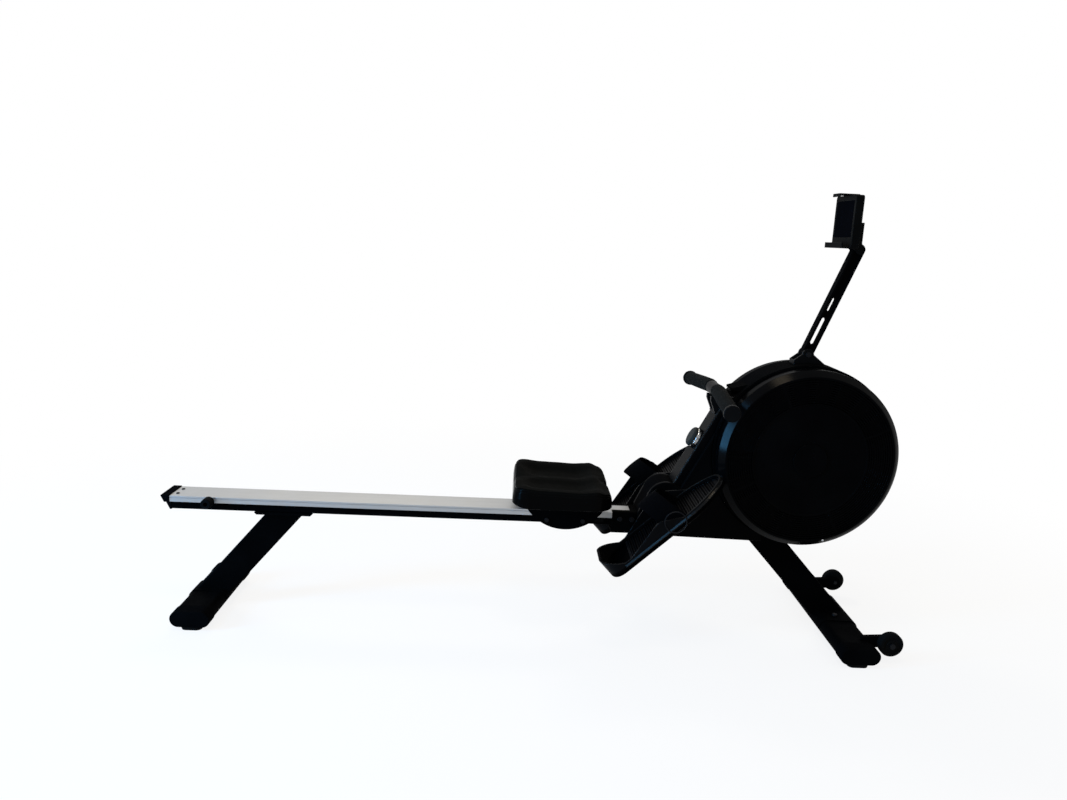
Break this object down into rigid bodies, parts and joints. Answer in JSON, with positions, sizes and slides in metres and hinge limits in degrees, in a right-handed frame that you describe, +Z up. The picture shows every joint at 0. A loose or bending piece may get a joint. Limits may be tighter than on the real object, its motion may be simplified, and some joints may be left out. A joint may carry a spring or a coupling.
{
  "type": "rowing machine",
  "caption": "Home rowing machine with a long level rail and rolling seat, pivoting pedals with foot straps, strap-driven fan housing, folding mast and console.",
  "frame": {"origin": "on the floor, midway along and across the machine", "axes": "+X along the rail towards the fan, +Y to the rower's left, +Z up"},
  "size_m": [1.9627, 0.5036, 1.1858],
  "materials": {
    "frame_paint": "satin black powder coat",
    "rail_aluminium": "anodised, brushed along its length",
    "black_plastic": "moulded, fine grain",
    "cover_plastic": "moulded, satin",
    "rubber": "matt",
    "foam": "foamed, matt",
    "cushion": "skinned foam, fine grain",
    "bolt_steel": "blackened",
    "bright_steel": "machined",
    "chrome_ring": "polished",
    "screen": "dark display window",
    "webbing": "woven webbing",
    "fan_plastic": "moulded",
    "roller_nylon": "turned nylon"
  },
  "bodies": {
    "frame": {"rear_foot_bar": "frame_paint", "front_foot_bar": "frame_paint", "foot_caps": "black_plastic", "foot_pads": "rubber", "rear_leg": "frame_paint", "front_leg": "frame_paint", "rail_beam": "frame_paint", "rail_track": "rail_aluminium", "rail_end_cap": "black_plastic", "rear_stop": "rubber", "front_stops": "rubber", "main_beam": "frame_paint", "frame_bolts": "bolt_steel", "spine": "frame_paint", "pedal_axle": "bright_steel", "side_cover_right": "cover_plastic", "side_cover_left": "cover_plastic", "foot_cowl": "cover_plastic", "shroud": "cover_plastic", "fan_cover_left": "cover_plastic", "fan_cover_right": "cover_plastic", "hub_caps": "black_plastic", "axle_plates": "frame_paint", "fan_bearings": "bright_steel", "rewind_spring": "bright_steel", "handle_rest": "black_plastic", "mast_bracket": "black_plastic", "pivot_bolts": "bolt_steel", "wheel_brackets": "frame_paint"},
    "fan": {"fan_axle": "bright_steel", "fan_wheel_left": "fan_plastic", "fan_wheel_right": "fan_plastic"},
    "drum": {"strap_drum": "roller_nylon"},
    "guide": {"guide_roller": "roller_nylon"},
    "handle": {"handle_bar": "frame_paint", "handle_grips": "foam", "handle_caps": "black_plastic", "handle_collar": "black_plastic", "pull_strap": "webbing"},
    "seat": {"seat_cushion": "cushion", "seat_pan": "frame_paint", "carriage_sides": "frame_paint", "roller_axles": "bolt_steel"},
    "roller_ur": {"upper_rollers_rear": "roller_nylon"},
    "roller_uf": {"upper_rollers_front": "roller_nylon"},
    "roller_lr": {"lower_rollers_rear": "roller_nylon"},
    "roller_lf": {"lower_rollers_front": "roller_nylon"},
    "knob": {"knob": "black_plastic", "knob_ring": "chrome_ring"},
    "mast": {"mast_arm": "frame_paint"},
    "console": {"console_shell": "black_plastic", "console_screen": "screen", "console_bracket": "black_plastic"},
    "clip": {"top_clip": "black_plastic"},
    "wheel_l": {"wheel_left": "rubber"},
    "wheel_r": {"wheel_right": "rubber"},
    "pedal_l": {"pedal_left": "black_plastic", "foot_strap_left": "webbing"},
    "pedal_r": {"pedal_right": "black_plastic", "foot_strap_right": "webbing"}
  },
  "joints": [
    {"name": "fan_spin", "type": "hinge", "parent": "frame", "child": "fan", "pos_m": [0.722, 0, 0.508], "axis": [0, 1, 0], "continuous": true},
    {"name": "handle_pull", "type": "slide", "parent": "frame", "child": "handle", "axis": [-0.9962, 0, 0.0872], "range_m": [0, 1.15], "stiffness_N_per_m": 14, "springref_m": -0.6},
    {"name": "drum_spin", "type": "hinge", "parent": "frame", "child": "drum", "pos_m": [0.722, 0, 0.508], "axis": [0, 1, 0], "range_deg": [-1722.6, 20]},
    {"name": "guide_spin", "type": "hinge", "parent": "frame", "child": "guide", "pos_m": [0.55357, 0, 0.64948], "axis": [0, 1, 0], "range_deg": [-5510.8, 20]},
    {"name": "seat_slide", "type": "slide", "parent": "frame", "child": "seat", "axis": [1, 0, 0], "range_m": [-0.8445, 0.025]},
    {"name": "upper_rear_roll", "type": "hinge", "parent": "seat", "child": "roller_ur", "pos_m": [0.0505, 0, 0.3413], "axis": [0, 1, 0], "range_deg": [-3245.8, 115.5]},
    {"name": "upper_front_roll", "type": "hinge", "parent": "seat", "child": "roller_uf", "pos_m": [0.1475, 0, 0.3413], "axis": [0, 1, 0], "range_deg": [-3245.8, 115.5]},
    {"name": "lower_rear_roll", "type": "hinge", "parent": "seat", "child": "roller_lr", "pos_m": [0.0505, 0, 0.3017], "axis": [0, 1, 0], "range_deg": [-199, 6068.3]},
    {"name": "lower_front_roll", "type": "hinge", "parent": "seat", "child": "roller_lf", "pos_m": [0.1475, 0, 0.3017], "axis": [0, 1, 0], "range_deg": [-199, 6068.3]},
    {"name": "knob_turn", "type": "hinge", "parent": "frame", "child": "knob", "pos_m": [0.44613, 0, 0.53051], "axis": [-0.8902, 0, 0.4555], "range_deg": [-150, 150]},
    {"name": "mast_fold", "type": "hinge", "parent": "frame", "child": "mast", "pos_m": [0.717, 0, 0.773], "axis": [0, 1, 0], "range_deg": [-45, 50]},
    {"name": "console_tilt", "type": "hinge", "parent": "mast", "child": "console", "pos_m": [0.82118, 0, 1.04814], "axis": [0, 1, 0], "range_deg": [-20, 20]},
    {"name": "clip_slide", "type": "slide", "parent": "console", "child": "clip", "axis": [0, 0, 1], "range_m": [0, 0.035], "stiffness_N_per_m": 40, "springref_m": -0.03},
    {"name": "wheel_left_roll", "type": "hinge", "parent": "frame", "child": "wheel_l", "pos_m": [0.95, 0.198, 0.0515], "axis": [0, 1, 0], "continuous": true},
    {"name": "wheel_right_roll", "type": "hinge", "parent": "frame", "child": "wheel_r", "pos_m": [0.95, -0.198, 0.0515], "axis": [0, 1, 0], "continuous": true},
    {"name": "pedal_left_tilt", "type": "hinge", "parent": "frame", "child": "pedal_l", "pos_m": [0.3748, 0.149, 0.33882], "axis": [0, 1, 0], "range_deg": [-15, 15]},
    {"name": "pedal_right_tilt", "type": "hinge", "parent": "frame", "child": "pedal_r", "pos_m": [0.3748, -0.149, 0.33882], "axis": [0, 1, 0], "range_deg": [-15, 15]}
  ],
  "couplings": [
    {"joint": "drum_spin", "follows": "handle_pull", "rad_per_m": -25.84},
    {"joint": "guide_spin", "follows": "handle_pull", "rad_per_m": -83.333},
    {"joint": "upper_rear_roll", "follows": "seat_slide", "rad_per_m": 66.667},
    {"joint": "upper_front_roll", "follows": "seat_slide", "rad_per_m": 66.667},
    {"joint": "lower_rear_roll", "follows": "seat_slide", "rad_per_m": -125},
    {"joint": "lower_front_roll", "follows": "seat_slide", "rad_per_m": -125}
  ]
}
